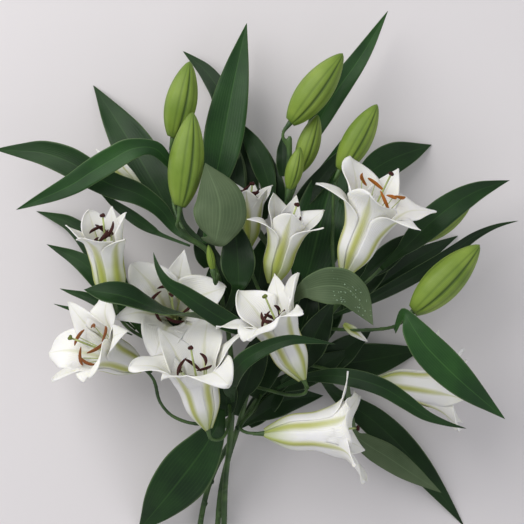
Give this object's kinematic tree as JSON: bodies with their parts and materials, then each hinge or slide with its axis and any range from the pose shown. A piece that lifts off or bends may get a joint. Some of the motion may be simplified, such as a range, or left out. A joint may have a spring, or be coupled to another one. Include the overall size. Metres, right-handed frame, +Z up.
{
  "type": "bunch of cut white lilies",
  "caption": "Bunch of cut white lilies with open trumpet flowers, closed green buds and long dark leaves on leafy stems, lying down",
  "frame": {"origin": "on the table, under the middle of the bunch's bounding box", "axes": "+Y from the cut ends to the flower heads, +X to the right seen from above, +Z up from the table"},
  "size_m": [0.588, 0.7102, 0.2127],
  "materials": {
    "stem": "fresh green stalk, satin, with small leaf scars",
    "leaf": "dark green waxy leaf with fine parallel veins, semi-gloss",
    "bud": "bright yellow-green closed bud, satin, darker along its seams",
    "petal": "soft white petal with a yellow-green midrib, finely ribbed",
    "stamen": "rust-brown powdery anthers on pale green filaments"
  },
  "bodies": {
    "root": {"stem_left": "stem", "stem_middle": "stem", "stem_right": "stem", "flower_left_half_open": "petal", "flower_left_upper": "petal", "stamens_left_upper": "stamen", "flower_left_lower": "petal", "stamens_left_lower": "stamen", "flower_front_left": "petal", "stamens_front_left": "stamen", "flower_front_middle": "petal", "flower_centre_half_open": "petal", "flower_centre_opening": "petal", "flower_right_upper": "petal", "stamens_right_upper": "stamen", "flower_right_lower": "petal", "flower_right_behind": "petal", "bud_left_top": "bud", "bud_left_front": "bud", "bud_middle_top": "bud", "bud_middle_behind": "bud", "bud_middle_small": "bud", "bud_right_top": "bud", "bud_right_low": "bud", "bud_right_shaded": "bud", "bud_left_small": "bud", "leaf_far_left": "leaf", "leaf_left_arching": "leaf", "leaf_left_big": "leaf", "leaf_left_wavy": "leaf", "leaf_left_upper": "leaf", "leaf_left_middle": "leaf", "leaf_left_low": "leaf", "leaf_left_crossing": "leaf", "leaf_left_thin": "leaf", "leaf_centre_crossing": "leaf", "leaf_centre_broad": "leaf", "leaf_centre_dark": "leaf", "leaf_top_tall": "leaf", "leaf_top_left": "leaf", "leaf_top_grey": "leaf", "leaf_top_band": "leaf", "leaf_top_right": "leaf", "leaf_middle_broad": "leaf", "leaf_right_dark": "leaf", "leaf_right_long": "leaf", "leaf_right_reaching": "leaf", "leaf_right_shaded": "leaf", "leaf_right_inner": "leaf", "leaf_right_curled": "leaf", "leaf_behind_trumpet": "leaf", "leaf_right_front": "leaf", "leaf_right_horizontal": "leaf", "leaf_over_trumpet": "leaf", "leaf_right_twisted": "leaf", "leaf_low_right_long": "leaf", "leaf_low_right_grey": "leaf", "leaf_low_left_big": "leaf", "leaf_beside_stem": "leaf", "leaf_low_middle": "leaf"}
  },
  "joints": []
}
